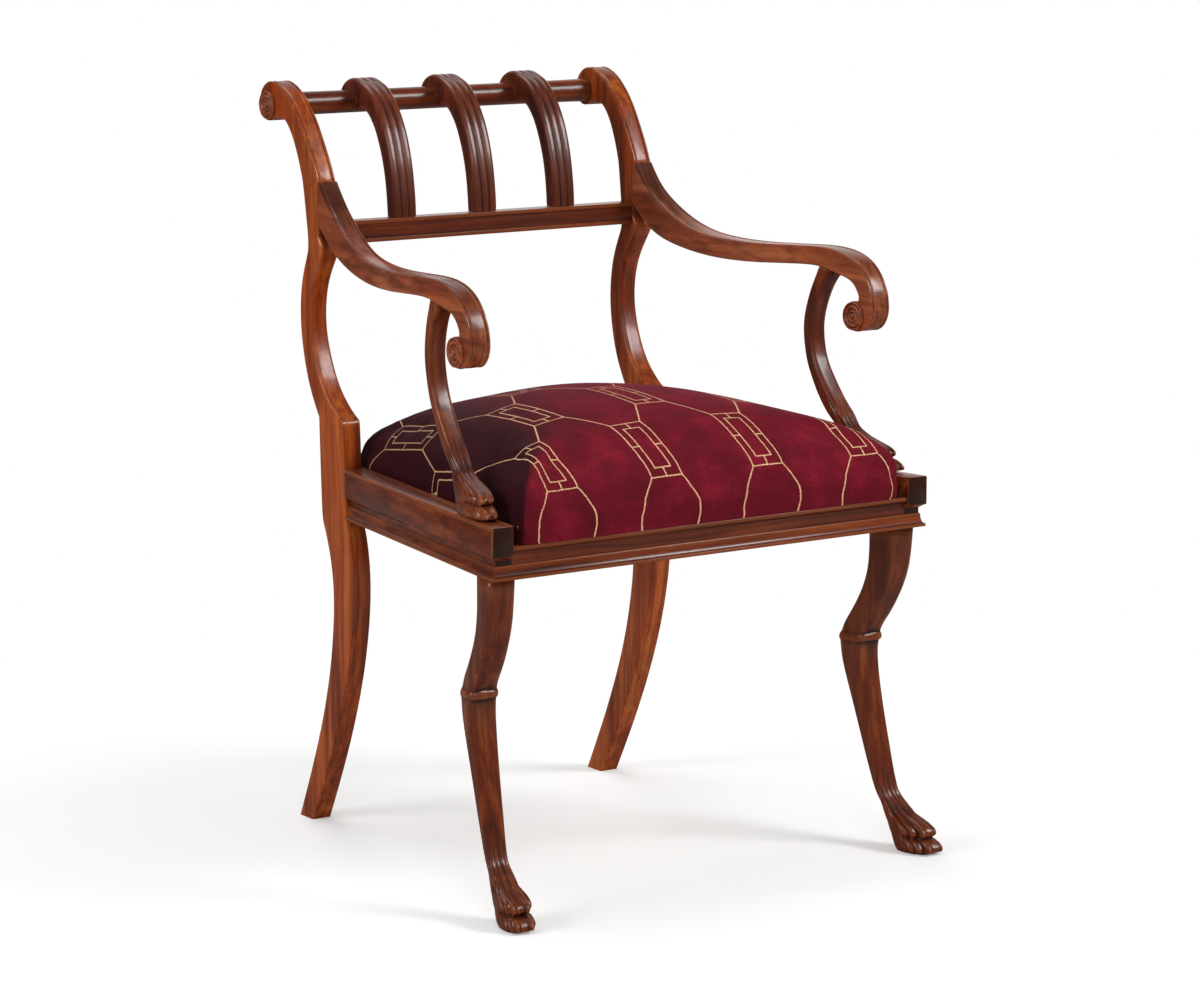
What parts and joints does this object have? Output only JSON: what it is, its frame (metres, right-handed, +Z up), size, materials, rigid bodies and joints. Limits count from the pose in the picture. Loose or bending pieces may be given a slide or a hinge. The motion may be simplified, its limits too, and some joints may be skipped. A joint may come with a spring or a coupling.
{
  "type": "klismos armchair",
  "caption": "Open armchair with sabre rear legs, hocked front legs on paws, scrolled arms, a round crest rail hooked by reeded splats, and a lift-out upholstered seat.",
  "frame": {"origin": "centre of the bounding box in plan, on the floor under the feet", "axes": "+Z up, +Y towards the back of the chair, +X towards the arm on the right of a viewer who faces the front"},
  "size_m": [0.6002, 0.6338, 0.8806],
  "materials": {
    "mahogany": "polished, satin gloss",
    "beech": "planed, unpolished",
    "webbing": "woven jute",
    "velvet": "pile velvet with a stitched lattice"
  },
  "bodies": {
    "frame": {"right_rear_upright": "mahogany", "left_rear_upright": "mahogany", "right_arm": "mahogany", "left_arm": "mahogany", "right_arm_support": "mahogany", "left_arm_support": "mahogany", "right_front_leg": "mahogany", "left_front_leg": "mahogany", "right_side_rail": "mahogany", "left_side_rail": "mahogany", "front_rail": "mahogany", "rear_rail": "mahogany", "front_base_moulding": "mahogany", "right_base_moulding": "mahogany", "left_base_moulding": "mahogany", "crest_rail": "mahogany", "back_rail": "mahogany", "left_splat": "mahogany", "centre_splat": "mahogany", "right_splat": "mahogany", "right_crest_rosette": "mahogany", "left_crest_rosette": "mahogany", "right_arm_outer_rosette": "mahogany", "left_arm_outer_rosette": "mahogany", "right_arm_inner_rosette": "mahogany", "left_arm_inner_rosette": "mahogany", "right_front_corner_block": "beech", "left_front_corner_block": "beech", "right_rear_corner_block": "beech", "left_rear_corner_block": "beech", "right_seat_bearer": "beech", "left_seat_bearer": "beech"},
    "seat": {"right_seat_side_member": "beech", "left_seat_side_member": "beech", "seat_front_member": "beech", "seat_rear_member": "beech", "left_long_strap": "webbing", "centre_long_strap": "webbing", "right_long_strap": "webbing", "front_cross_strap": "webbing", "middle_cross_strap": "webbing", "rear_cross_strap": "webbing", "seat_cushion": "velvet"}
  },
  "joints": [
    {"name": "seat_lift", "type": "slide", "parent": "frame", "child": "seat", "axis": [0, 0, 1], "range_m": [0, 0.25]}
  ]
}
